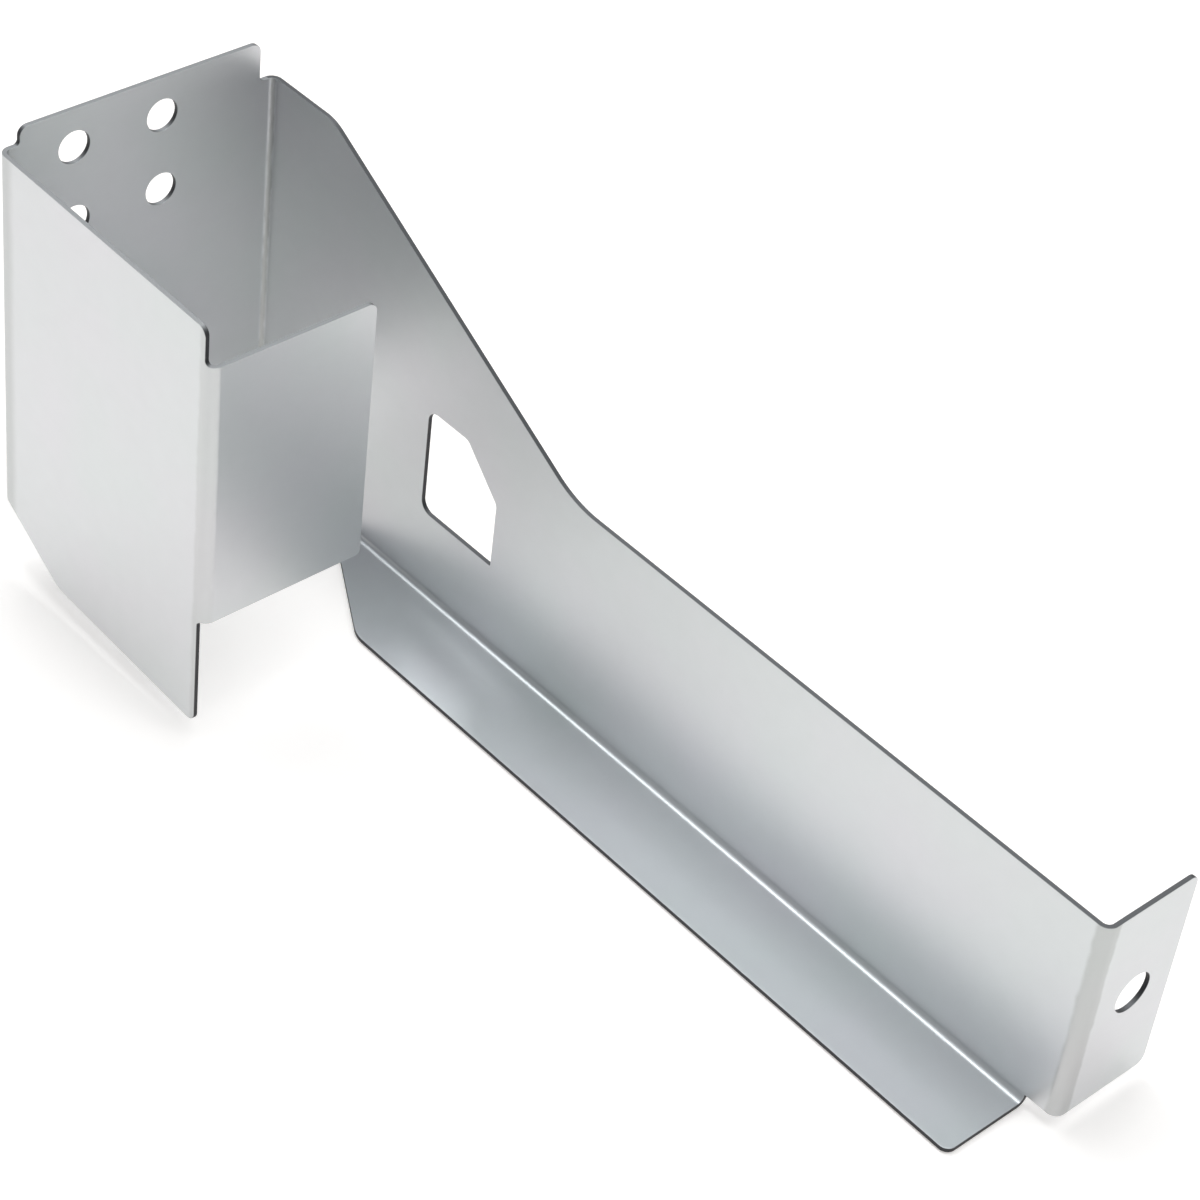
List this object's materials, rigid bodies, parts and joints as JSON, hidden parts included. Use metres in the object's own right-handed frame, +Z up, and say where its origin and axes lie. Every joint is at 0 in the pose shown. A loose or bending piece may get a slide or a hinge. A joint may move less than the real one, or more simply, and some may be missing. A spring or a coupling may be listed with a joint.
{
  "type": "mounting bracket",
  "caption": "Folded zinc-plated sheet bracket: a bolted back plate carries an open box on one side and a long flanged arm with a window and an end tab on the other.",
  "frame": {"origin": "centre of the rectangle of bolt holes, on the rear face of the back plate, which lies against the wall", "axes": "+X from the box's left wall towards the arm, +Y back into the wall, +Z up; the arm runs forward along -Y"},
  "size_m": [0.129, 0.3465, 0.1525],
  "materials": {
    "zinc_steel": "bright zinc plating, satin, with a fine grain and faint cloudy tints"
  },
  "bodies": {
    "root": {"folded_bracket": "zinc_steel"}
  },
  "joints": []
}
